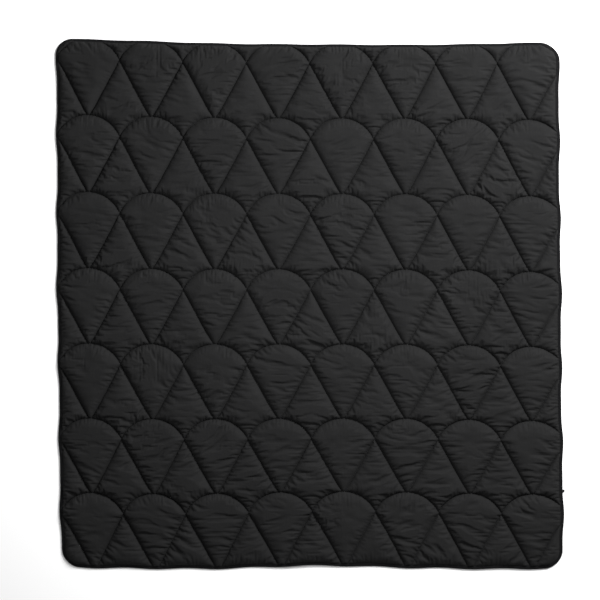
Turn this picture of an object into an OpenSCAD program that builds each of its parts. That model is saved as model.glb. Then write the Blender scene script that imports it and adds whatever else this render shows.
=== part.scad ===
// Quilted camp blanket, lying flat with its face side up.
// Origin: middle of the underside. X runs side to side, Y foot to head, Z up.

/* [Blanket] */
// Width of the finished blanket, side to side
blanket_w = 1900; // [1600:10:2100]
// Length of the finished blanket, foot to head
blanket_l = 1980; // [1700:10:2200]
// Radius of the four rounded corners
corner_r = 62; // [40:1:100]

/* [Quilting] */
// Number of fan cells side to side
columns = 8; // [4:1:8]
// Number of fan cells foot to head, each sewn as two lines
rows = 7; // [4:1:7]
// How far all the columns of fans together run past the blanket's width, under the binding
pattern_over = 8; // [-20:1:16]
// Depth of a fan's arc, as a share of half the fan's width
arc_depth = 0.65; // [0.4:0.01:0.7]
// How far the pattern sits to the +X side of the middle
pattern_shift = 8; // [0:1:10]

/* [Layers] */
// Thickness of the face cloth and of the back cloth
cloth_t = 0.4; // [0.3:0.1:0.5]
// Thickness of the filling where it is sewn down
sewn_t = 3.6; // [3:0.1:5]
// Height that the filling gains in the middle of a cell
loft = 17; // [8:1:24]
// Distance from a seam at which the filling reaches its full height
loft_run = 62; // [40:1:80]

/* [Binding] */
// Width of each flap of the folded binding
binding_w = 11; // [9:0.5:16]
// Thickness of the binding tape
binding_t = 0.8; // [0.6:0.1:1]
// Width of a sewing thread's line
thread_w = 1; // [0.8:0.1:1.2]
// Thickness of a sewing thread
thread_t = 0.5; // [0.4:0.1:0.6]
// Distance of the binding's topstitching from the outer edge
topstitch_in = 8.5; // [7:0.5:9]

/* [Side tab] */
// How far along Y the folded tab lies from the middle
tab_y = -692; // [-800:1:800]
// Width of the tab along the edge
tab_w = 9; // [6:1:20]
// How far the tab stands out of the binding
tab_out = 7; // [4:1:12]

/* [Hidden] */
LINES = 2 * rows;
function two_digits(n) = n < 10 ? str("0", n) : str(n);
function needle_name(n) = str("needle_thread_", two_digits(n));
function bobbin_name(n) = str("bobbin_thread_", two_digits(n));

row_pitch = blanket_l / rows;
column_pitch = (blanket_w + pattern_over) / columns;
half = column_pitch / 2;
half_w = blanket_w / 2;
half_l = blanket_l / 2;
sheet_in = binding_t;               // the sheets end inside the fold of the binding
flat_in = binding_w + 1;            // inside this border the filling may rise

// Heights of the layers where they are sewn together
back_z = binding_t;
batting_z = back_z + cloth_t;
sewn_z = batting_z + sewn_t;
face_z = sewn_z + cloth_t;
binding_h = face_z + binding_t;

// Every fan starts with an arc and ends in a V, which meet at its sides
arc_drop = arc_depth * half;
arc_r = (half * half + arc_drop * arc_drop) / (2 * arc_drop);
vee_angle = atan((row_pitch - arc_drop) / half);

// Depth of the arc and of the V line below the top of a fan, at u from the fan's middle
function arc_at(u) = arc_r - sqrt(arc_r * arc_r - u * u);
function vee_at(u) = row_pitch - (row_pitch - arc_drop) * abs(u) / half;

// Middle of column c, and the distance of any x from the nearest column's middle
function column_x(c) = (c - (columns - 1) / 2) * column_pitch + pattern_shift;
function column_of(x) = max(0, min(columns - 1, round((x - column_x(0)) / column_pitch)));
function u_of(x) = min(half, abs(x - column_x(column_of(x))));

// Distance from a point to the nearest seam, v being its depth below the top of its row
function vee_gap(u, v) = abs(v - vee_at(u)) * cos(vee_angle);
function arc_gap(u, v) = abs(norm([u, arc_r - v]) - arc_r);
function seam_gap(u, v) =
    v <= vee_at(u)
        ? min(vee_gap(u, v), v < arc_r ? arc_gap(u, v) : arc_r)
        : min(vee_gap(u, v), arc_gap(u, v - row_pitch));
function border_gap(x, y) = max(0, min(half_w - abs(x), half_l - abs(y)) - flat_in);
function rise(gap) = loft * (1 - pow(1 - min(gap / loft_run, 1), 2));
function puff(x, y) =
    let (v = half_l - y, row = max(-1, min(rows - 1, floor((v - arc_at(u_of(x))) / row_pitch))))
    rise(min(border_gap(x, y), seam_gap(u_of(x), v - row * row_pitch)));

// Rounded corners: the square corner zone is drawn in along the rays of the corner's centre
// and every point is rounded to a thousandth, so that points that meet are the same point
function corner_pull(dx, dy) = dx > 0 && dy > 0 ? max(dx, dy) / norm([dx, dy]) : 1;
function tidy(value) = round(value * 1000) / 1000;
function rounded(x, y) =
    let (
        cx = half_w - corner_r,
        cy = half_l - corner_r,
        dx = abs(x) - cx,
        dy = abs(y) - cy,
        pull = corner_pull(dx, dy)
    )
    pull == 1
        ? [tidy(x), tidy(y)]
        : [tidy(sign(x) * (cx + dx * pull)), tidy(sign(y) * (cy + dy * pull))];

// Outline of the blanket, drawn in by an inset
corner_steps = 10;
function outline(inset) = [
    for (q = [0:3])
        let (sx = q == 0 || q == 3 ? 1 : -1, sy = q < 2 ? 1 : -1)
        for (s = [0:corner_steps])
            let (a = 90 * q + 90 * s / corner_steps, r = corner_r - inset)
            [sx * (half_w - corner_r) + r * cos(a), sy * (half_l - corner_r) + r * sin(a)]
];

// Grid of the quilted sheets. Its lines follow the arcs and the V lines.
across = 3;                         // divisions of half a fan
fan_levels = [0, 0.18, 0.6];        // grid lines from the arc down to the V line, as shares
gap_levels = [0, 0.35, 0.8];        // grid lines from the V line down to the next arc
function clamp_in(value, limit) = max(-limit, min(limit, value));
grid_x = concat(
    [-half_w + sheet_in],
    [for (k = [0:2 * across * columns])
        clamp_in(column_x(0) - half + k * half / across, half_w - flat_in)],
    [half_w - sheet_in]
);
function levels(u) = concat(
    [for (share = gap_levels) arc_at(u) * share],
    [for (row = [0:rows - 1])
        let (
            top = row * row_pitch,
            arc = top + arc_at(u),
            vee = top + vee_at(u),
            end = row == rows - 1 ? blanket_l : top + row_pitch + arc_at(u)
        )
        each concat(
            [for (share = fan_levels) arc + (vee - arc) * share],
            [for (share = gap_levels) vee + (end - vee) * share]
        )],
    [blanket_l]
);
function grid_column(x) = concat(
    [rounded(x, half_l - sheet_in)],
    [for (v = levels(u_of(clamp_in(x, half_w - flat_in))))
        rounded(x, clamp_in(half_l - v, half_l - flat_in))],
    [rounded(x, -half_l + sheet_in)]
);
sheet_grid = [for (x = grid_x) grid_column(x)];
across_n = len(sheet_grid);
along_n = len(sheet_grid[0]);
function at(i, j) = i * along_n + j;
function lifted(base) = [
    for (i = [0:across_n - 1], j = [0:along_n - 1])
        let (p = sheet_grid[i][j])
        [p.x, p.y, tidy(base + puff(p.x, p.y))]
];
function flat_at(base) = [
    for (i = [0:across_n - 1], j = [0:along_n - 1]) [sheet_grid[i][j].x, sheet_grid[i][j].y, base]
];
// Each grid square is split along the diagonal that runs down beside the V line
function u_at(i) = u_of(grid_x[max(1, min(across_n - 2, i))]);
function leans(i) = u_at(i) < u_at(i + 1);
function up_faces(first) = [
    for (i = [0:across_n - 2], j = [0:along_n - 2])
        let (
            a = first + at(i, j),
            b = first + at(i + 1, j),
            c = first + at(i + 1, j + 1),
            d = first + at(i, j + 1)
        )
        each (leans(i) ? [[a, b, d], [b, c, d]] : [[a, b, c], [a, c, d]])
];
function reversed(face) = [for (k = [len(face) - 1:-1:0]) face[k]];
rim = concat(
    [for (j = [0:along_n - 1]) at(0, j)],
    [for (i = [1:across_n - 1]) at(i, along_n - 1)],
    [for (j = [along_n - 2:-1:0]) at(across_n - 1, j)],
    [for (i = [across_n - 2:-1:1]) at(i, 0)]
);
function rim_faces(upper, lower) = [
    for (k = [0:len(rim) - 1])
        let (a = rim[k], b = rim[(k + 1) % len(rim)])
        each [[upper + a, upper + b, lower + b], [upper + a, lower + b, lower + a]]
];

// One quilting line: over the arc of every other fan, and down the V of those between
arc_steps = 6;                      // divisions of half an arc
line_gap = 0.2;                     // clearance of a quilting line from the binding's flap
line_end = half_w - binding_w - line_gap;
function over_arc(c, odd) = (c + odd) % 2 == 0;
function line_depth(x, odd) = over_arc(column_of(x), odd) ? arc_at(u_of(x)) : vee_at(u_of(x));
function line_stations(odd) = concat(
    [-line_end],
    [for (c = [0:columns - 1])
        let (steps = over_arc(c, odd) ? 2 * arc_steps : 2)
        for (s = [0:steps - 1])
            let (x = column_x(c) - half + s * column_pitch / steps)
            if (abs(x) < line_end - 1) x],
    [line_end]
);
function line_side(n, side) =
    let (row = floor((n - 1) / 2), odd = (n - 1) % 2, stations = line_stations(odd))
    [for (k = [0:len(stations) - 1])
        let (
            x = stations[k],
            before = stations[max(0, k - 1)],
            after = stations[min(len(stations) - 1, k + 1)],
            slope = (line_depth(after, odd) - line_depth(before, odd)) / (after - before),
            y = half_l - row * row_pitch - line_depth(x, odd)
        )
        [x, y + side * thread_w / 2 * sqrt(1 + slope * slope)]];

module quilting_line(n, z) {
    translate([0, 0, z])
        linear_extrude(thread_t)
            intersection() {
                polygon(concat(line_side(n, -1), reversed(line_side(n, 1))));
                square([2 * line_end, 2 * (half_l - binding_w - 0.2)], center = true);
            }
}

module ring(outer_in, inner_in, z, height) {
    translate([0, 0, z])
        linear_extrude(height)
            difference() {
                polygon(outline(outer_in));
                polygon(outline(inner_in));
            }
}

module top_shell() {
    count = across_n * along_n;
    color([0.16, 0.16, 0.17])
        polyhedron(
            points = concat(lifted(face_z), lifted(sewn_z)),
            faces = concat(
                up_faces(0),
                [for (face = up_faces(count)) reversed(face)],
                rim_faces(0, count)
            )
        );
}

module batting() {
    count = across_n * along_n;
    color([0.92, 0.92, 0.9])
        polyhedron(
            points = concat(lifted(sewn_z), flat_at(batting_z)),
            faces = concat(
                up_faces(0),
                [[for (k = [0:len(rim) - 1]) count + rim[k]]],
                rim_faces(0, count)
            )
        );
}

module bottom_shell() {
    color([0.14, 0.14, 0.15])
        translate([0, 0, back_z])
            linear_extrude(cloth_t)
                polygon(outline(sheet_in));
}

module edge_binding() {
    color([0.07, 0.07, 0.075])
        difference() {
            linear_extrude(binding_h) polygon(outline(0));
            translate([0, 0, binding_t]) linear_extrude(face_z - binding_t) polygon(outline(binding_t));
            translate([0, 0, -1]) linear_extrude(binding_h + 2) polygon(outline(binding_w));
            ring(topstitch_in, topstitch_in + thread_w, binding_h - thread_t, 2 * thread_t);
            ring(topstitch_in, topstitch_in + thread_w, -thread_t, 2 * thread_t);
            translate([half_w - binding_t, tab_y, binding_h / 2])
                cube([4 * binding_t, tab_w, 2 * cloth_t], center = true);
        }
}

module side_tab() {
    tab_in = half_w - binding_t;
    color([0.06, 0.06, 0.065])
        translate([tab_in, tab_y - tab_w / 2, binding_h / 2 - cloth_t])
            cube([tab_out + binding_t, tab_w, 2 * cloth_t]);
}

module binding_needle_thread() {
    color([0.1, 0.1, 0.1])
        ring(topstitch_in, topstitch_in + thread_w, binding_h - thread_t, thread_t);
}

module binding_bobbin_thread() {
    color([0.1, 0.1, 0.1])
        ring(topstitch_in, topstitch_in + thread_w, 0, thread_t);
}

module needle_thread(n) {
    color([0.09, 0.09, 0.095])
        quilting_line(n, face_z + thread_t / 2);
}

module bobbin_thread(n) {
    color([0.09, 0.09, 0.095])
        quilting_line(n, back_z - thread_t);
}

top_shell();
batting();
bottom_shell();
edge_binding();
side_tab();
binding_needle_thread();
binding_bobbin_thread();
for (n = [1:LINES]) needle_thread(n);
for (n = [1:LINES]) bobbin_thread(n);
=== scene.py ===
"""Looks of a quilted camp blanket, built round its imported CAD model.

Metres, +Z up through the face cloth, +Y towards the head, where the fans have their rounded tops.
The sheets are simulated on the true, straight pattern, and laid() then moves everything to where a
blanket spread by hand really lies."""

import math

import bpy
import numpy as np
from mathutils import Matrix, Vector


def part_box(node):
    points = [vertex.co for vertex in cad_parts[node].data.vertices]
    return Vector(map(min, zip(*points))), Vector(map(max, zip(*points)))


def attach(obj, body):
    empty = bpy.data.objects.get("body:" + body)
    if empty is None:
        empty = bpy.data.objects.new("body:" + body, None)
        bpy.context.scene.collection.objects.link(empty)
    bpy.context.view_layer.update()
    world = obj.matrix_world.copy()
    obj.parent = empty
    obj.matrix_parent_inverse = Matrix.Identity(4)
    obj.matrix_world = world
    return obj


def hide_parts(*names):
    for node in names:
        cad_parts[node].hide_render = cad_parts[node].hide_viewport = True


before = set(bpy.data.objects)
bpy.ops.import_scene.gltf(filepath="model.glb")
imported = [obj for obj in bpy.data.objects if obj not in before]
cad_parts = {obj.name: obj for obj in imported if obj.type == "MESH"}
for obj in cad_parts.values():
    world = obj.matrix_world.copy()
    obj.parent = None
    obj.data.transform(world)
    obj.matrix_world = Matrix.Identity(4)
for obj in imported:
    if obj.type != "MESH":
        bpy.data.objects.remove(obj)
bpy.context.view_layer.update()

# ---------------------------------------------------------------- sizes from the frame
BINDING_LOW, BINDING_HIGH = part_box("edge_binding")
HALF_W = (BINDING_HIGH[0] - BINDING_LOW[0]) / 2
HALF_L = (BINDING_HIGH[1] - BINDING_LOW[1]) / 2
TAB_LOW, TAB_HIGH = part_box("side_tab")
THREADS = sorted(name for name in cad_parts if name.startswith("needle_thread_"))
BOBBINS = sorted(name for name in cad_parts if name.startswith("bobbin_thread_"))
ROWS = len(THREADS) // 2
CORNER_R = 0.062
BINDING_W = 0.011
BINDING_T = 0.0008
SHEET_IN = BINDING_T            # the sheets end inside the fold of the binding
FLAT_IN = BINDING_W - 0.001     # inside this border the filling rises

# Heights where the layers are sewn together, and how far the cells stand proud
FACE_SEAM_Z = 0.0052
BACK_SEAM_Z = 0.0036
EDGE_FACE_Z = 0.0050
EDGE_BACK_Z = 0.0012
FACE_WALL, FACE_DOME = 0.0066, 0.0040      # steep rise beside a seam, and the slow one after it
BACK_WALL, BACK_DOME = -0.0012, -0.0024
WALL_RUN, DOME_RUN = 0.0027, 0.045
FACE_TOP = 0.030                # no fold stands higher
FLOOR_GAP = 0.0003

# ---------------------------------------------------------------- the quilting pattern
COLUMNS = 8
PATTERN_OVER = 0.008            # how far the columns together run past the width, under the binding
PATTERN_SHIFT = 0.008           # how far the whole pattern lies to the right
COLUMN_PITCH = (2 * HALF_W + PATTERN_OVER) / COLUMNS
HALF = COLUMN_PITCH / 2
ROW_PITCH = 2 * HALF_L / ROWS
TIP_ROUND = 0.009               # half the width of the small rounded tip of each V
ARC_DROP = 0.65 * HALF
ARC_R = (HALF ** 2 + ARC_DROP ** 2) / (2 * ARC_DROP)
ARC_HALF_ANGLE = math.asin(HALF / ARC_R)
VEE_RISE = ROW_PITCH - ARC_DROP
NUDGE = 1e-4                    # step for a slope worked out by difference
HAIR = 0.001                    # well under any real gap in the pattern
TINY = 1e-9                     # keeps a division clear of nought


def arc_at(u):
    """Depth of the arc below its top, at a distance u from the fan's middle."""
    return ARC_R - np.sqrt(np.maximum(ARC_R ** 2 - u ** 2, 0))


def vee_at(u):
    """Depth of the V below the same top."""
    reach = math.hypot(HALF, TIP_ROUND) - TIP_ROUND
    return ROW_PITCH - VEE_RISE * (np.sqrt(u * u + TIP_ROUND ** 2) - TIP_ROUND) / reach


def vee_slope(u):
    return (vee_at(u + NUDGE) - vee_at(u - NUDGE)) / (2 * NUDGE)


def column_x(c):
    """The middle of a column of fans."""
    return (c - (COLUMNS - 1) / 2) * COLUMN_PITCH + PATTERN_SHIFT


def column_of(x):
    return np.clip(np.round((x - column_x(0)) / COLUMN_PITCH), 0, COLUMNS - 1)


def mirror_side(x):
    """+1 to the right of the nearest column's middle, -1 to the left."""
    return np.where(x >= column_x(column_of(x)), 1.0, -1.0)


def is_sewn(depth):
    """Whether an arc that far below the head is one of the blanket's own."""
    return (depth > -HAIR) & (depth < 2 * HALF_L - HAIR)


def pattern_place(x, y):
    """Distance u from the nearest column's middle, row number, and depth v below that row's top."""
    u = np.minimum(HALF, np.abs(x - column_x(column_of(x))))
    v = HALF_L - y
    row = np.clip(np.floor((v - arc_at(u)) / ROW_PITCH), -1, ROWS - 1)
    return u, row, v - row * ROW_PITCH


def along_vee(u, v):
    """How far across the fan the foot of the shortest way to the V line lies, taking it as straight."""
    return HALF * np.clip((u * HALF - (v - ROW_PITCH) * VEE_RISE) / (HALF ** 2 + VEE_RISE ** 2), 0, 1)


def nearest_on_seams(x, y):
    """The nearest point of the quilting to each point, and how far away it is."""
    u, row, v = pattern_place(x, y)
    # The V line, taken as straight and then set onto its rounded tip
    pu = along_vee(u, v)
    for _ in range(2):
        tilt = vee_slope(pu)
        step = ((u - pu) + (v - vee_at(pu)) * tilt) / (1 + tilt ** 2)
        pu = np.clip(pu + step, 0, HALF)
    choices = [(pu, vee_at(pu), row >= 0)]
    # The arc of this row, and the arc of the row below
    for top in (0.0, ROW_PITCH):
        angle = np.clip(np.arctan2(u, ARC_R + top - v), 0, ARC_HALF_ANGLE)
        choices.append((ARC_R * np.sin(angle), top + ARC_R - ARC_R * np.cos(angle),
                        is_sewn(row * ROW_PITCH + top)))
    best = np.full(x.shape, np.inf)
    near_u, near_v = u, v
    for pu, pv, exists in choices:
        gap = np.hypot(u - pu, v - pv)
        take = (gap < best) & exists
        best = np.where(take, gap, best)
        near_u = np.where(take, pu, near_u)
        near_v = np.where(take, pv, near_v)
    near_x = column_x(column_of(x)) + mirror_side(x) * near_u
    near_y = HALF_L - (row * ROW_PITCH + near_v)
    return near_x, near_y, best


def drawn_in(x, y, reach):
    """How strongly the stitching gathers the cloth at each point, as a symmetric 2 by 2 strain.

    A seam gathers the cloth along its own direction, less and less away from it. Each point feels
    the V and arcs of its own half cell, and those mirrored in the fan's middle and in the junction."""
    side = mirror_side(x)
    u, row, v = pattern_place(x, y)
    xx, yy, xy = np.zeros_like(x), np.zeros_like(x), np.zeros_like(x)
    for image, mirror in ((u, 1.0), (-u, -1.0), (2 * HALF - u, -1.0)):
        along = along_vee(image, v)
        tilt = vee_slope(along)
        gap = np.hypot(image - along, v - vee_at(along))
        pulls = [(gap, 1 / np.sqrt(1 + tilt ** 2), tilt / np.sqrt(1 + tilt ** 2), row >= 0)]
        for top in (0.0, ROW_PITCH):
            angle = np.clip(np.arctan2(image, ARC_R + top - v), 0, ARC_HALF_ANGLE)
            gap = np.hypot(image - ARC_R * np.sin(angle), v - top - ARC_R * (1 - np.cos(angle)))
            pulls.append((gap, np.cos(angle), np.sin(angle), is_sewn(row * ROW_PITCH + top)))
        for gap, tu, tv, exists in pulls:
            weight = np.exp(-gap / reach) * exists
            xx += weight * tu * tu
            yy += weight * tv * tv
            xy -= weight * tu * tv * side * mirror
    # The binding gathers the cloth along the edge
    for distance, component in ((HALF_W - np.abs(x), yy), (HALF_L - np.abs(y), xx)):
        component += np.exp(-np.maximum(distance - BINDING_W, 0) / reach)
    return xx, yy, xy


# ---------------------------------------------------------------- smooth seeded noise
NOISE_CELL = 0.006              # grid that the noise is drawn on


def blur(field, cells, axis):
    """A running mean, passed three times, along one axis."""
    cells = max(1, int(cells))
    for _ in range(3):
        padded = np.concatenate([np.repeat(np.take(field, [0], axis), cells, axis), field,
                                 np.repeat(np.take(field, [-1], axis), cells, axis)], axis)
        total = np.cumsum(padded, axis)
        width = 2 * cells
        high = np.take(total, range(width, total.shape[axis]), axis)
        low = np.take(total, range(0, total.shape[axis] - width), axis)
        field = (high - low) / width
    return field


def resample(field, shape):
    """A grid of values, read off in straight lines between its points at another size."""
    for axis, count in enumerate(shape):
        place = np.linspace(0, field.shape[axis] - 1, count)
        below = np.minimum(place.astype(int), field.shape[axis] - 2)
        share = (place - below).reshape([-1 if k == axis else 1 for k in range(field.ndim)])
        field = np.take(field, below, axis) * (1 - share) + np.take(field, below + 1, axis) * share
    return field


def noise(shape, span_x, span_y, seed):
    """Seeded noise of unit strength over the whole sheet, smooth over spans given in metres."""
    rng = np.random.default_rng(seed)
    field = rng.standard_normal((int(2 * HALF_L / NOISE_CELL), int(2 * HALF_W / NOISE_CELL)))
    field = resample(blur(blur(field, span_x / NOISE_CELL, 1), span_y / NOISE_CELL, 0), shape)
    return (field - field.mean()) / field.std()


# ---------------------------------------------------------------- how the blanket was laid out
def past_corner(x, y):
    """How far each point lies beyond the centre of the nearest rounded corner."""
    return np.abs(x) - (HALF_W - CORNER_R), np.abs(y) - (HALF_L - CORNER_R)


def rounded(x, y):
    """Draws the square corners in to round ones, along the rays of each corner's centre."""
    dx, dy = past_corner(x, y)
    inside = (dx <= 0) | (dy <= 0)
    pull = np.where(inside, 1.0, np.maximum(dx, dy) / np.maximum(np.hypot(dx, dy), TINY))
    return (np.where(inside, x, np.sign(x) * (HALF_W - CORNER_R + dx * pull)),
            np.where(inside, y, np.sign(y) * (HALF_L - CORNER_R + dy * pull)))


def inside_by(x, y):
    """How far inside the rounded outline each point is, and the outward direction there."""
    dx, dy = past_corner(x, y)
    in_corner = (dx > 0) & (dy > 0)
    reach = np.where(in_corner, np.maximum(np.hypot(dx, dy), TINY), np.maximum(dx, dy))
    out_x = np.where(in_corner, dx / reach, dx >= dy) * np.sign(x)
    out_y = np.where(in_corner, dy / reach, dx < dy) * np.sign(y)
    return CORNER_R - reach, out_x, out_y


def edge_weight(distance, reach):
    return np.exp(-np.maximum(distance, 0) / reach)


def wander(s, t):
    """How far the cloth inside the border strays from straight, as it does when laid by hand.

    s and t run from -1 to 1 across and along. The straying fades out towards the edges."""
    across = (-0.0044 + 0.0084 * s + 0.0074 * t - 0.0024 * s * s - 0.0114 * s ** 3
              - 0.0061 * s * s * t - 0.0039 * s * t * t - 0.0057 * t ** 3)
    along = (-0.0050 - 0.0036 * s * s + 0.0119 * t * t - 0.0103 * s ** 3
             + 0.0067 * s * t * t - 0.0029 * s * t)
    return across * (1 - s ** 16), along * (1 - t ** 16)


def row_phase(y):
    """An angle that turns once for each row, and is nought where two arcs meet."""
    return 2 * math.pi * (HALF_L - y - ARC_DROP) / ROW_PITCH


SWELL_REACH = 0.07              # how far in from the edge its swelling is felt


def laid(x, y, z):
    """Moves points of the true pattern to where the hand-laid blanket really lies."""
    s, t = x / HALF_W, y / HALF_L
    across = -0.0015 * s + 0.0005 - 0.0093 * t + 0.0027 * t * t - 0.0038 * s * t * t
    top = -0.0062 - 0.008 * s + 0.016 * s * s
    bottom = 0.0030 - 0.006 * np.sin(math.pi * 1.6 * (s + 0.87))
    along = np.where(t > 0, top * t ** 2, bottom * t ** 2)
    # The edge swells out where the quilting reaches it, and is drawn in between
    down = row_phase(y)
    over = 2 * math.pi * (x - column_x(0)) / COLUMN_PITCH
    swell_side = 0.0026 * np.cos(down) + 0.0010 * np.cos(2 * down) + 0.0012 * np.sin(0.37 * down + 1)
    swell_foot = 0.0024 * np.cos(over) + 0.0014 * np.sin(0.41 * over + 2)
    swell_head = 0.0010 * np.cos(over) + 0.0007 * np.sin(0.33 * over)
    across = across + np.sign(x) * swell_side * edge_weight(HALF_W - np.abs(x), SWELL_REACH)
    along = along - swell_foot * edge_weight(HALF_L + y, SWELL_REACH)
    along = along + swell_head * edge_weight(HALF_L - y, SWELL_REACH)
    wander_x, wander_y = wander(s, t)
    return x + across + wander_x, y + along + wander_y, z + lift(x, y)


def lift(x, y):
    """How far the edge stands off the floor, in slow waves."""
    s, t = x / HALF_W, y / HALF_L
    foot = 0.0050 * np.exp(-((s + 0.02) / 0.13) ** 2) + 0.0022 * np.exp(-((s - 0.72) / 0.16) ** 2)
    head = 0.0032 * np.exp(-((s + 0.66) / 0.10) ** 2)
    sides = 0.0012 * (1 + np.cos(row_phase(y))) / 2
    return (foot * edge_weight(HALF_L + y, 0.05) + head * edge_weight(HALF_L - y, 0.05)
            + sides * edge_weight(HALF_W - np.abs(x), 0.035))


# ---------------------------------------------------------------- cloth simulation
SEAM_PULL = 0.012               # within this distance the grid crowds towards a seam
CROWN_SOFT = 0.0004             # how far the ridges between two seams are smoothed away, square metres
EDGE_RUN = 0.03                 # over this distance the sewn height changes to that at the edge
LOFT_PLAY = 0.0110              # past this swell the wadding starts to hold the sheet back
LOFT_HOLD = 0.05
GRIP = np.array([0.004, 0.004, 0.002], dtype=np.float32)   # how firmly the wadding holds the sheet in place
MOST_EXCESS = 0.16              # no thread is longer than its space by a greater share
FIRST_BETWEEN = 500             # the spaces between fans are numbered from here
MOST_CELLS = 2000


def ring_mean(field):
    """The mean of each inner point's four neighbours."""
    return (field[:-2, 1:-1] + field[2:, 1:-1] + field[1:-1, :-2] + field[1:-1, 2:]) / 4


class Cloth:
    """A sheet on a grid, sewn down along the quilting and the edge, and pushed out by the wadding.

    Each pass pulls every thread back to its own length, lets the wadding press the sheet outward and
    smooths the tightest bends. The sheet is longer than the space it is sewn into, so it swells
    between the seams and folds where it can't. A coarse grid finds the broad folds, and each finer
    one starts from it and adds the smaller creases beside the seams."""

    def __init__(self, cell, seam_z, edge_z, wall, dome, seed, parent=None):
        self.nx = int(round(2 * (HALF_W - SHEET_IN) / cell)) + 1
        self.ny = int(round(2 * (HALF_L - SHEET_IN) / cell)) + 1
        shape = (self.ny, self.nx)
        x, y = np.meshgrid(np.linspace(-HALF_W + SHEET_IN, HALF_W - SHEET_IN, self.nx),
                           np.linspace(-HALF_L + SHEET_IN, HALF_L - SHEET_IN, self.ny))
        x, y = rounded(x, y)
        # Grid points beside a seam are set onto it, and the next ones are drawn closer to it
        border = inside_by(x, y)[0]
        near_x, near_y, gap = nearest_on_seams(x, y)
        step_x, step_y = np.abs(near_x - x), np.abs(near_y - y)
        lean = np.maximum(step_x, step_y) / np.maximum(np.hypot(step_x, step_y), TINY)
        self.on_seam = (gap <= 0.5 * cell * lean + 1e-6) & (border > FLAT_IN)
        ease = np.clip(gap / SEAM_PULL, 0, 1)
        keep = np.where(self.on_seam, 0.0, 0.35 + 0.65 * ease * ease * (3 - 2 * ease))
        keep = np.where(border > FLAT_IN, keep, 1.0)
        x, y = near_x + (x - near_x) * keep, near_y + (y - near_y) * keep
        # and those beside the binding's inner edge are set onto that
        border, out_x, out_y = inside_by(x, y)
        move = np.where((np.abs(border - FLAT_IN) < 0.5 * cell) & ~self.on_seam, border - FLAT_IN, 0.0)
        x, y = x + out_x * move, y + out_y * move
        border = inside_by(x, y)[0] - FLAT_IN
        self.pattern = (x, y)
        gap = np.where(self.on_seam, 0.0, nearest_on_seams(x, y)[2])
        gap = np.minimum(gap, np.maximum(border, 0))
        self.free = np.where(self.on_seam | (border <= 1e-6), 0.0, 1.0).astype(np.float32)
        crown = dome * (1 - (1 - np.clip(gap / DOME_RUN, 0, 1)) ** 2)
        for _ in range(int(CROWN_SOFT / cell ** 2)):
            crown[1:-1, 1:-1] = ring_mean(crown)
            crown *= self.free
        rise = wall * (1 - np.exp(-gap / WALL_RUN)) + crown
        base = seam_z + (edge_z - seam_z) * np.clip(1 - border / EDGE_RUN, 0, 1)
        # Every fan, and every space between fans, has a number and four random values of its own
        u, row, v = pattern_place(x, y)
        between = v > vee_at(u)
        number = np.where(between, np.floor((x - column_x(0)) / COLUMN_PITCH) + 1, column_of(x))
        self.cell_id = ((row + 1) * (COLUMNS + 2) + number + FIRST_BETWEEN * between).astype(int)
        self.cell_random = np.random.default_rng(seed).random((4, MOST_CELLS))
        full = 0.92 + 0.16 * self.cell_random[3, self.cell_id] + 0.06 * noise(shape, 0.05, 0.05, seed + 1)
        self.surface = np.stack([x, y, base + rise * full], axis=-1)
        self.moved = np.zeros_like(self.surface)
        if parent is not None:
            self.moved = resample(parent.moved, shape) * self.free[..., None]
        self.seed = seed

    def excess(self, gather, slack):
        """How much longer the sheet is than the space it is sewn into, as a strain at each point."""
        shape = (self.ny, self.nx)
        patchy = [np.clip(1 + 0.55 * noise(shape, span, span, self.seed + 2 + k), 0.1, 2.4)
                  for k, span in enumerate((0.022, 0.034, 0.012))]
        beside = drawn_in(*self.pattern, 0.014)
        around = drawn_in(*self.pattern, 0.045)
        xx, yy, xy = [gather * (0.65 * near * patchy[2] + 0.35 * far * patchy[0])
                      for near, far in zip(beside, around)]
        loose = self.cell_random[:, self.cell_id]
        bunch = self.bunched() * (0.5 + loose[2])
        askew = 0.5 * noise(shape, 0.030, 0.030, self.seed + 7)
        loose_x = slack * (0.35 + 0.7 * loose[0] ** 2) * patchy[1]
        loose_y = slack * (0.70 + 0.8 * loose[1] ** 2) * patchy[0]
        return xx + loose_x, yy + loose_y + gather * bunch, xy + askew * loose_y

    def bunched(self):
        """How near each point is to the throat of a gap between two arcs, where the cloth bunches up."""
        u, _, v = pattern_place(*self.pattern)
        below = np.where(v > vee_at(u), v - ROW_PITCH, -1.0)
        return np.exp(-((below - 0.4 * ARC_DROP) / (0.5 * ARC_DROP)) ** 2)

    def settle(self, passes, gather, slack, bend, pressure, start_noise, limits):
        """Settles the sheet, between the lowest and the highest that it can lie."""
        strain = self.excess(gather, slack)
        surface = self.surface

        def rest(a, b):
            """The length that the cloth itself has between two neighbouring points."""
            delta = surface[b] - surface[a]
            dx, dy = delta[..., 0], delta[..., 1]
            xx, yy, xy = [(part[a] + part[b]) / 2 for part in strain]
            more = (xx * dx * dx + yy * dy * dy + 2 * xy * dx * dy) / np.maximum(dx * dx + dy * dy, 1e-12)
            length = np.sqrt((delta ** 2).sum(-1)) * (1 + np.clip(more, 0, MOST_EXCESS))
            return length.astype(np.float32)

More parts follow.
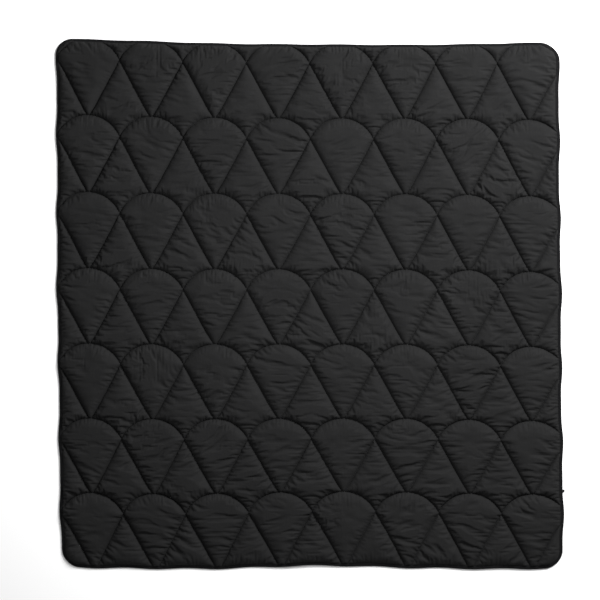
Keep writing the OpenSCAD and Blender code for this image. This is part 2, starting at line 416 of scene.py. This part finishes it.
        # Links along the threads, then the softer ones across the grid's cells, in sets that share no point
        whole = slice(None)
        links = []
        for start in (0, 1):
            for axis, count in ((1, self.nx), (0, self.ny)):
                end = start + 2 * ((count - start) // 2)
                ends = [slice(start, end, 2), slice(start + 1, end, 2)]
                a, b = [(whole, part) if axis else (part, whole) for part in ends]
                links.append((a, b, rest(a, b), 1.0))
            for left, right in ((slice(0, -1), slice(1, None)), (slice(1, None), slice(0, -1))):
                a, b = (ends[0], left), (ends[1], right)
                links.append((a, b, rest(a, b), 0.5))
        free = self.free
        origin = surface.astype(np.float32)
        p = (surface + self.moved).astype(np.float32)
        p[..., 2] += start_noise * noise((self.ny, self.nx), 0.012, 0.006, self.seed + 9) * free
        for _ in range(passes):
            for a, b, length, stiffness in links:
                delta = p[b] - p[a]
                now = np.sqrt(np.einsum("ijk,ijk->ij", delta, delta)) + TINY
                share = stiffness * (now - length) / now / np.maximum(free[a] + free[b], 1.0)
                p[a] += delta * (share * free[a])[..., None]
                p[b] -= delta * (share * free[b])[..., None]
            # Bending is resisted, and the wadding holds, pushes and stops the sheet
            moved = p - origin
            curl = np.zeros_like(p)
            curl[1:-1, 1:-1] = ring_mean(moved) - moved[1:-1, 1:-1]
            twist = np.zeros_like(p)
            twist[1:-1, 1:-1] = ring_mean(curl) - curl[1:-1, 1:-1]
            p -= twist * (bend * free)[..., None]
            p -= moved * (GRIP * free[..., None])
            p[..., 2] += pressure * free
            p[..., 2] -= LOFT_HOLD * np.maximum(moved[..., 2] - LOFT_PLAY, 0) * free
            p[..., 2] = np.clip(p[..., 2], *limits)
        self.moved = p - surface
        self.points = p.astype(float)

    def mesh(self, name, flip=False):
        """The sheet's mesh. Cells that a seam crosses from corner to corner are split along it."""
        x, y, z = laid(self.points[..., 0], self.points[..., 1], self.points[..., 2])
        points = np.stack([x, y, z], axis=-1).reshape(-1, 3)
        index = np.arange(self.nx * self.ny).reshape(self.ny, self.nx)
        a, b, c, d = index[:-1, :-1], index[:-1, 1:], index[1:, 1:], index[1:, :-1]
        s = self.on_seam
        down = s[:-1, :-1] & s[1:, 1:]
        up = s[:-1, 1:] & s[1:, :-1]
        split_ac, split_bd = down & ~up, up & ~down
        whole = ~split_ac & ~split_bd
        quads = np.stack([a[whole], b[whole], c[whole], d[whole]], axis=-1)
        tris = np.concatenate([
            np.stack([a[split_ac], b[split_ac], c[split_ac]], axis=-1),
            np.stack([a[split_ac], c[split_ac], d[split_ac]], axis=-1),
            np.stack([a[split_bd], b[split_bd], d[split_bd]], axis=-1),
            np.stack([b[split_bd], c[split_bd], d[split_bd]], axis=-1)])
        if flip:
            quads, tris = quads[:, ::-1], tris[:, ::-1]
        return make_mesh(name, points, [quads, tris], creased=s.reshape(-1))


def make_mesh(name, points, groups, creased=None):
    """A mesh object from an array of points and arrays of faces. Edges between creased points are sharp."""
    mesh = bpy.data.meshes.new(name)
    groups = [g for g in groups if len(g)]
    loops = np.concatenate([g.reshape(-1) for g in groups]).astype(np.int32)
    sizes = np.concatenate([np.full(len(g), g.shape[1]) for g in groups]).astype(np.int32)
    starts = np.concatenate([[0], np.cumsum(sizes)[:-1]]).astype(np.int32)
    mesh.vertices.add(len(points))
    mesh.vertices.foreach_set("co", np.asarray(points, dtype=np.float32).reshape(-1))
    mesh.loops.add(len(loops))
    mesh.loops.foreach_set("vertex_index", loops)
    mesh.polygons.add(len(sizes))
    mesh.polygons.foreach_set("loop_start", starts)
    mesh.polygons.foreach_set("use_smooth", np.full(len(sizes), True))
    mesh.update(calc_edges=True)
    mesh.validate()
    if creased is not None:
        ends = np.zeros(2 * len(mesh.edges), dtype=np.int32)
        mesh.edges.foreach_get("vertices", ends)
        sharp = mesh.attributes.new("sharp_edge", "BOOLEAN", "EDGE")
        sharp.data.foreach_set("value", creased[ends.reshape(-1, 2)].all(axis=1))
    thing = bpy.data.objects.new(name, mesh)
    bpy.context.scene.collection.objects.link(thing)
    return thing


# ---------------------------------------------------------------- materials
class Nodes:
    """Short names for making a node material.

    spread() stretches a noise, which keeps near its middle, over the whole of a range."""

    def __init__(self, name):
        self.material = bpy.data.materials.new(name)
        self.material.use_nodes = True
        self.tree = self.material.node_tree
        self.shader = self.tree.nodes["Principled BSDF"]
        self.coords = self.tree.nodes.new("ShaderNodeTexCoord").outputs["Object"]

    def add(self, kind, inputs=None, **settings):
        node = self.tree.nodes.new(kind)
        for key, value in settings.items():
            setattr(node, key, value)
        for key, value in (inputs or {}).items():
            if hasattr(value, "is_linked"):
                self.tree.links.new(value, node.inputs[key])
            else:
                node.inputs[key].default_value = value
        return node

    def noise(self, scale, detail=3.0, stretch=(1, 1, 1)):
        mapped = self.add("ShaderNodeMapping", {"Vector": self.coords, "Scale": stretch})
        inputs = {"Vector": mapped.outputs[0], "Scale": scale, "Detail": detail}
        return self.add("ShaderNodeTexNoise", inputs).outputs[0]

    def spread(self, value, low, high):
        return self.add("ShaderNodeMapRange", {"Value": value, "From Min": 0.3, "From Max": 0.7,
                                               "To Min": low, "To Max": high}).outputs[0]

    def math(self, operation, a, b):
        return self.add("ShaderNodeMath", {0: a, 1: b}, operation=operation).outputs[0]

    def colour(self, low, high, factor):
        inputs = {"Factor": factor, 6: (*low, 1), 7: (*high, 1)}
        return self.add("ShaderNodeMix", inputs, data_type="RGBA").outputs[2]

    def bump(self, height, strength, distance, normal=None):
        inputs = {"Height": height, "Strength": strength, "Distance": distance}
        if normal is not None:
            inputs["Normal"] = normal
        return self.add("ShaderNodeBump", inputs).outputs[0]

    def link(self, value, socket):
        self.tree.links.new(value, self.shader.inputs[socket])


def weave(n, pitch):
    """Height of a plain weave of that pitch: threads over and under each other."""
    axes = n.add("ShaderNodeSeparateXYZ", {0: n.coords})
    turns = 2 * math.pi / pitch
    waves = [n.math("SINE", n.math("MULTIPLY", axes.outputs[k], turns), 0.0) for k in (0, 1)]
    return n.math("MULTIPLY", waves[0], waves[1])


def taffeta(name, dark, light):
    """Smooth, matte, tightly woven cloth, with faint slubs and fine crinkles."""
    n = Nodes(name)
    clouds = n.noise(3.1, 4)
    slubs = n.math("MULTIPLY", n.noise(260, 2, (1, 0.06, 1)), 0.5)
    slubs = n.math("ADD", slubs, n.math("MULTIPLY", n.noise(260, 2, (0.06, 1, 1)), 0.5))
    shade = n.math("MULTIPLY", n.spread(clouds, 0, 1), 0.45)
    shade = n.math("ADD", shade, n.math("MULTIPLY", n.spread(slubs, 0, 1), 0.55))
    n.link(n.colour(dark, light, shade), "Base Color")
    n.link(n.spread(n.noise(14, 4), 0.70, 0.86), "Roughness")
    fine = n.bump(weave(n, 0.0011), 0.25, 0.0002)
    crinkle = n.bump(n.noise(95, 4, (1, 1, 1)), 0.5, 0.0016, fine)
    n.link(n.bump(slubs, 0.2, 0.0004, crinkle), "Normal")
    n.shader.inputs["Sheen Weight"].default_value = 0.01
    n.shader.inputs["Sheen Roughness"].default_value = 0.45
    n.shader.inputs["Specular IOR Level"].default_value = 0.06
    return n.material


def tape():
    """Matte ribbed tape, darker than the cloth."""
    n = Nodes("binding_tape")
    shade = n.spread(n.noise(420, 3), 0, 1)
    n.link(n.colour((0.0032, 0.0032, 0.0035), (0.0065, 0.0065, 0.007), shade), "Base Color")
    n.link(n.spread(n.noise(60, 3), 0.55, 0.75), "Roughness")
    ribs = n.bump(weave(n, 0.0014), 0.4, 0.0003)
    n.link(n.bump(n.noise(150, 3), 0.35, 0.0010, ribs), "Normal")
    n.shader.inputs["Specular IOR Level"].default_value = 0.03
    return n.material


def thread_material():
    n = Nodes("sewing_thread")
    shade = n.spread(n.noise(900, 2), 0, 1)
    n.link(n.colour((0.008, 0.008, 0.009), (0.018, 0.018, 0.019), shade), "Base Color")
    n.link(n.spread(n.noise(300, 2), 0.38, 0.55), "Roughness")
    n.link(n.bump(n.noise(1600, 2), 0.4, 0.0002), "Normal")
    n.shader.inputs["Specular IOR Level"].default_value = 0.15
    return n.material


def wadding():
    n = Nodes("wadding")
    shade = n.spread(n.noise(90, 5), 0, 1)
    n.link(n.colour((0.78, 0.78, 0.76), (0.9, 0.9, 0.88), shade), "Base Color")
    n.link(n.spread(n.noise(40, 3), 0.85, 0.98), "Roughness")
    n.link(n.bump(n.noise(240, 6), 0.6, 0.002), "Normal")
    return n.material


def floor_material():
    n = Nodes("studio_floor")
    n.link(n.colour((0.90, 0.90, 0.90), (0.93, 0.93, 0.93), n.noise(0.8, 2)), "Base Color")
    n.shader.inputs["Roughness"].default_value = 0.9
    n.shader.inputs["Specular IOR Level"].default_value = 0.1
    return n.material


FACE_CLOTH = taffeta("face_taffeta", (0.0080, 0.0080, 0.0082), (0.0112, 0.0112, 0.0113))
BACK_CLOTH = taffeta("back_taffeta", (0.0072, 0.0072, 0.0075), (0.0102, 0.0102, 0.0103))
TAPE = tape()
THREAD = thread_material()


def dress(thing, material, slot, *nodes):
    """Gives a piece its material and its body, and hides the CAD nodes it stands for. The slot is not used.
    """
    thing.data.materials.clear()
    thing.data.materials.append(material)
    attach(thing, "root")
    if nodes:
        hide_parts(*nodes)
    return thing


# ---------------------------------------------------------------- camera, light and floor
VIEW_SPAN = 2.262               # width of floor that the frame takes in
CAMERA_H = 6.0
CAMERA_X, CAMERA_Y = -0.035, 0.0205
SENSOR = 36.0


def make_camera():
    """A camera straight above the blanket, looking down."""
    data = bpy.data.cameras.new("camera")
    data.sensor_width = SENSOR
    data.lens = SENSOR * CAMERA_H / VIEW_SPAN
    camera = bpy.data.objects.new("camera", data)
    camera.location = (CAMERA_X, CAMERA_Y, CAMERA_H)
    bpy.context.scene.collection.objects.link(camera)
    bpy.context.scene.camera = camera


def area_light(name, place, aim, size, power):
    data = bpy.data.lights.new(name, "AREA")
    data.shape = "DISK"
    data.size = size
    data.energy = power
    light = bpy.data.objects.new(name, data)
    light.location = place
    light.visible_camera = False
    light.rotation_euler = (Vector(aim) - Vector(place)).to_track_quat("-Z", "Y").to_euler()
    bpy.context.scene.collection.objects.link(light)


def make_studio():
    scene = bpy.context.scene
    scene.view_settings.view_transform = "Standard"
    world = bpy.data.worlds.new("studio")
    scene.world = world
    world.use_nodes = True
    sky = world.node_tree.nodes["Background"]
    sky.inputs["Color"].default_value = (1, 1, 1, 1)
    sky.inputs["Strength"].default_value = 0.33
    area_light("key", (2.3, 2.4, 2.5), (0.2, 0.3, 0), 1.5, 365)
    area_light("overhead", (0.0, 0.1, 1.5), (0.0, 0.1, 0), 1.0, 14)
    bpy.ops.mesh.primitive_plane_add(size=30)
    floor = bpy.context.object
    floor.name = "studio_floor"
    floor.data.materials.append(floor_material())


make_camera()
make_studio()

# ---------------------------------------------------------------- the two quilted sheets
FACE_CELL = 0.0033              # the finest grid of each sheet
BACK_CELL = 0.0075
EFFORT = 1.0    # share of the passes that are made


def quilted(cells, settings, shape, limits, seed):
    """The settled sheet, worked out on one grid after another, each finer than the last.

    Each setting holds the passes, how much longer the cloth is along the seams and all over, its
    stiffness in bending, the push of the wadding, and the unevenness that it starts from. The
    limits are the lowest and highest that it can lie: on the floor, or against the wadding."""
    sheet = None
    for cell, (passes, *rest) in zip(cells, settings):
        sheet = Cloth(cell, *shape, seed, sheet)
        sheet.settle(int(passes * EFFORT), *rest, limits)
    return sheet


face = quilted((4 * FACE_CELL, 2 * FACE_CELL, FACE_CELL),
               ((200, 0.022, 0.022, 0.08, 0.00004, 0.0014),
                (160, 0.045, 0.034, 0.03, 0.00003, 0.0008),
                (110, 0.074, 0.041, 0.02, 0.00003, 0.0005)),
               (FACE_SEAM_Z, EDGE_FACE_Z, FACE_WALL, FACE_DOME),
               (EDGE_FACE_Z - 0.0002, FACE_TOP), seed=21)
back = quilted((2 * BACK_CELL, BACK_CELL),
               ((160, 0.010, 0.008, 0.10, -0.00002, 0.0006),
                (90, 0.020, 0.008, 0.06, -0.00001, 0.0002)),
               (BACK_SEAM_Z, EDGE_BACK_Z, BACK_WALL, BACK_DOME),
               (FLOOR_GAP, BACK_SEAM_Z), seed=41)

top_shell = dress(face.mesh("face_cloth"), FACE_CLOTH, "face_cloth", "top_shell")
bottom_shell = dress(back.mesh("back_cloth", flip=True), BACK_CLOTH, "back_cloth", "bottom_shell")


# ---------------------------------------------------------------- the filling
def make_filling():
    """The wadding between the sheets, on every fourth row and column of the face's grid.

    Its upper face keeps below the lowest cloth near each point, so that no fold cuts into it."""
    step, skin, sliver = 4, 0.0012, 0.0002
    rows = np.arange(0, face.ny, step)
    cols = np.arange(0, face.nx, step)
    rows[-1], cols[-1] = face.ny - 1, face.nx - 1
    z = face.points[..., 2]
    low = z
    for axis in (0, 1):
        low = np.min([np.roll(low, shift, axis) for shift in range(-step, step + 1)], axis=0)
    upper = low[np.ix_(rows, cols)] - skin
    inset = FLAT_IN - 0.002
    x = face.surface[np.ix_(rows, cols)][..., 0] * (1 - inset / HALF_W)
    y = face.surface[np.ix_(rows, cols)][..., 1] * (1 - inset / HALF_L)
    lower = np.full_like(upper, BACK_SEAM_Z + sliver)
    upper = np.maximum(upper, lower + sliver)
    lifted = [np.stack(laid(x, y, height), axis=-1).reshape(-1, 3) for height in (upper, lower)]
    ny, nx = upper.shape
    index = np.arange(nx * ny).reshape(ny, nx)
    top = np.stack([index[:-1, :-1], index[:-1, 1:], index[1:, 1:], index[1:, :-1]], axis=-1).reshape(-1, 4)
    rim = np.concatenate([index[0, :-1], index[:-1, -1], index[-1, :0:-1], index[:0:-1, 0]])
    after = np.roll(rim, -1)
    wall = np.stack([rim, rim + nx * ny, after + nx * ny, after], axis=-1)
    return make_mesh("filling", np.concatenate(lifted), [top, top[:, ::-1] + nx * ny, wall])


filling = dress(make_filling(), wadding(), "filling", "batting")


# ---------------------------------------------------------------- the edge binding
def outline(inset, step):
    """Points, outward directions and running length of the rounded outline, drawn in by an inset.

    It runs anticlockwise, each corner's arc first and then the straight side after it."""
    r = CORNER_R - inset
    quarter_turn = math.pi / 2
    corners = [np.array([side * (HALF_W - CORNER_R), end * (HALF_L - CORNER_R)])
               for side, end in ((1, 1), (-1, 1), (-1, -1), (1, -1))]
    points, normals = [], []
    for quarter, centre in enumerate(corners):
        first = quarter_turn * quarter
        turns = np.linspace(first, first + quarter_turn, max(3, int(r * quarter_turn / step)))
        rays = np.stack([np.cos(turns), np.sin(turns)], axis=-1)
        points.append(centre + r * rays)
        normals.append(rays)
        end = corners[(quarter + 1) % 4] + r * rays[-1]
        count = max(2, int(np.linalg.norm(end - points[-1][-1]) / step))
        share = np.linspace(0, 1, count, endpoint=False)[1:, None]
        points.append(points[-1][-1] * (1 - share) + end * share)
        normals.append(np.repeat(rays[-1:], len(share), axis=0))
    points, normals = np.concatenate(points), np.concatenate(normals)
    lengths = np.linalg.norm(np.roll(points, -1, axis=0) - points, axis=1)
    return points, normals, np.concatenate([[0], np.cumsum(lengths)[:-1]])


def ripple(length, waves, seed):
    """A closed sum of waves along the edge, of about unit strength."""
    rng = np.random.default_rng(seed)
    total = 0
    whole = length[-1] + (length[1] - length[0])
    for wave in waves:
        turns = round(whole / wave * rng.uniform(0.9, 1.1))
        phase = 2 * math.pi * turns * length / whole + rng.uniform(0, 6.28)
        total = total + np.sin(phase) * rng.uniform(0.6, 1)
    return total / math.sqrt(len(waves))


def binding_section():
    """Inset and height of the folded tape, once round its outer face and back along its inner face."""
    high, low = EDGE_FACE_Z + 0.0005, EDGE_BACK_Z - 0.0005
    t, w = BINDING_T, BINDING_W
    mid, half = (high + low) / 2, (high - low) / 2
    outer = [(w, high + 0.0001), (w - 0.0004, high + 0.55 * t), (w - 0.002, high + 0.75 * t),
             (w * 0.55, high + 1.25 * t), (0.0035, high + 1.2 * t), (0.0016, high + 0.75 * t)]
    fold = [(0.0004, mid + 0.62 * half), (0.0, mid + 0.2 * half),
            (0.0002, mid - 0.35 * half), (0.0008, mid - 0.8 * half)]
    under = [(0.0024, low - 0.3 * t), (w * 0.5, low - 0.5 * t), (w, low - 0.4 * t)]
    inner = [(w, low + 0.1 * t), (w * 0.5, low + 0.1 * t), (0.003, low + 0.3 * t), (0.0014, mid),
             (0.003, high - 0.1 * t), (w * 0.5, high), (w - 0.001, high - 0.0002)]
    return outer + fold + under + inner


def make_binding():
    """The folded tape right round the edge, puckered by its stitches and a little uneven in width."""
    points, normals, length = outline(0.0, 0.0036)
    pucker = ripple(length, [0.011, 0.014, 0.019, 0.027], 5)
    width = ripple(length, [0.022, 0.041, 0.09], 6)
    section = binding_section()
    rings = []
    for inset, height in section:
        flap = inset / BINDING_W
        place = points - normals * (inset + 0.00035 * flap * width)[:, None]
        on_floor = height < 0.002
        z = height + 0.00022 * pucker * (0.3 + flap) * (0.3 if on_floor else 1)
        z = np.maximum(z, FLOOR_GAP)
        rings.append(np.stack(laid(place[:, 0], place[:, 1], z), axis=-1))
    rings = np.stack(rings, axis=1)
    count, around = rings.shape[:2]
    index = np.arange(count * around).reshape(count, around)
    nxt = np.roll(index, -1, axis=0)
    faces = np.stack([index, nxt, np.roll(nxt, -1, axis=1), np.roll(index, -1, axis=1)], axis=-1)
    return make_mesh("binding", rings.reshape(-1, 3), [faces.reshape(-1, 4)])


dress(make_binding(), TAPE, "binding_tape", "edge_binding")


# ---------------------------------------------------------------- sewing
STITCH = 0.0042
TOPSTITCH = 0.0036
TOPSTITCH_IN = 0.0085
THREAD_R = 0.00042
THREAD_OUT = 0.0004             # how far a quilting stitch stands out from the seam
AHEAD = 0.2                     # how far along its way a stitch looks for its direction after laying


def stitches(name, places, ways, above, length):
    """One small bead of thread for each stitch, sunk at both ends.

    above is +1 on the face and -1 on the back."""
    count = len(places)
    ways = ways / np.linalg.norm(ways, axis=1, keepdims=True)
    up = np.array([0, 0, 1.0])
    side = np.cross(ways, up)
    side /= np.linalg.norm(side, axis=1, keepdims=True)
    lifted = np.cross(side, ways)
    profile = [(-0.46, 0.0, -1.0), (-0.26, 1.0, 0.15), (0.26, 1.0, 0.15), (0.46, 0.0, -1.0)]
    rings = []
    for along, size, height in profile:
        centre = places + ways * along * length + lifted * above * height * THREAD_R
        if size == 0:
            rings.append(centre[:, None])
        else:
            corners = [(1, 0), (0, 1), (-1, 0), (0, -1)]
            rings.append(np.stack([centre + (side * a * 1.15 + lifted * b) * THREAD_R
                                   for a, b in corners], axis=1))
    points = np.concatenate(rings, axis=1)
    points[..., 2] = np.maximum(points[..., 2], 0.1 * FLOOR_GAP)
    tris, quads = [], []
    for k in range(4):
        after = (k + 1) % 4
        tris += [(0, 1 + after, 1 + k), (9, 5 + k, 5 + after)]
        quads.append((1 + k, 1 + after, 5 + after, 5 + k))
    base = np.arange(count)[:, None, None] * 10
    return make_mesh(name, points.reshape(-1, 3), [
        (np.array(quads)[None] + base).reshape(-1, 4), (np.array(tris)[None] + base).reshape(-1, 3)])


def even(path, step):
    """Points at even steps along a path, and the directions there."""
    gaps = np.linalg.norm(np.diff(path, axis=0), axis=1)
    run = np.concatenate([[0], np.cumsum(gaps)])
    at = np.arange(step / 2, run[-1], step)
    points = np.stack([np.interp(at, run, path[:, k]) for k in range(2)], axis=-1)
    ahead = np.stack([np.interp(at + 0.3 * step, run, path[:, k]) for k in range(2)], axis=-1)
    behind = np.stack([np.interp(at - 0.3 * step, run, path[:, k]) for k in range(2)], axis=-1)
    return points, ahead - behind


def line_path(number):
    """The path of one line of quilting: over the arc of every other fan, down the V of those between."""
    row, odd = divmod(number, 2)
    x = np.linspace(-HALF_W + BINDING_W, HALF_W - BINDING_W, 6000)
    c = column_of(x)
    u = np.minimum(HALF, np.abs(x - column_x(c)))
    depth = np.where((c + odd) % 2 == 0, arc_at(u), vee_at(u))
    return np.stack([x, HALF_L - row * ROW_PITCH - depth], axis=-1)


def sew(node, name, path, height, above, step, clear):
    """A row of stitches along a path, wherever it is far enough from the edge. It replaces a CAD node."""
    points, ways = even(path, step)
    keep = inside_by(points[:, 0], points[:, 1])[0] > clear
    points, ways = points[keep], ways[keep]
    place, tip = [np.stack(laid(*p.T, np.full(len(p), height)), axis=-1)
                  for p in (points, points + ways * AHEAD)]
    dress(stitches(name, place, tip - place, above, step), THREAD, "thread", node)


for number, (needle, bobbin) in enumerate(zip(THREADS, BOBBINS)):
    path = line_path(number)
    for node, seam_z, above in ((needle, FACE_SEAM_Z, 1), (bobbin, BACK_SEAM_Z, -1)):
        height = seam_z + above * THREAD_OUT
        sew(node, node.replace("thread", "stitches"), path, height, above, STITCH, BINDING_W)

edge_points = outline(TOPSTITCH_IN, 0.002)[0]
edge_path = np.concatenate([edge_points, edge_points[:1]])
sew("binding_needle_thread", "binding_topstitch", edge_path, EDGE_FACE_Z + 0.0013, 1, TOPSTITCH, 0)
sew("binding_bobbin_thread", "binding_understitch", edge_path, EDGE_BACK_Z - 0.0008, -1, TOPSTITCH, 0)


# ---------------------------------------------------------------- the small tab in the side binding
def make_tab():
    """A strip of tape folded over on itself, caught in the fold of the binding."""
    y_mid = (TAB_LOW[1] + TAB_HIGH[1]) / 2
    half = (TAB_HIGH[1] - TAB_LOW[1]) / 2
    root, out = HALF_W - 0.006, TAB_HIGH[0] - 0.0008
    t = 0.0005
    path = np.array([(root, 0.0039), (HALF_W, 0.0041), (out - 0.0015, 0.0043), (out, 0.0036),
                     (out - 0.0015, 0.0027), (HALF_W, 0.0026), (root, 0.0028)])
    turn = np.gradient(path, axis=0)
    normal = np.stack([-turn[:, 1], turn[:, 0]], axis=-1)
    normal /= np.linalg.norm(normal, axis=1, keepdims=True)
    loop = np.concatenate([path + normal * t / 2, (path - normal * t / 2)[::-1]])
    sides = np.linspace(-half, half, 7)
    rings = []
    for s in sides:
        crown = 1 - 0.12 * (s / half) ** 2
        x = root + (loop[:, 0] - root) * crown
        rings.append(np.stack(laid(x, np.full(len(x), y_mid + s), loop[:, 1]), axis=-1))
    points = np.concatenate(rings)
    around = len(loop)
    index = np.arange(len(points)).reshape(len(sides), around)
    nxt = np.roll(index, -1, axis=1)
    walls = np.stack([index[:-1], index[1:], nxt[1:], nxt[:-1]], axis=-1).reshape(-1, 4)
    n = around // 2
    caps = []
    for ring, flip in ((index[0], False), (index[-1], True)):
        for k in range(n - 1):
            quad = [ring[k], ring[k + 1], ring[around - 2 - k], ring[around - 1 - k]]
            caps.append(quad[::-1] if flip else quad)
    return make_mesh("edge_tab", points, [walls, np.array(caps)])


dress(make_tab(), TAPE, "binding_tape", "side_tab")
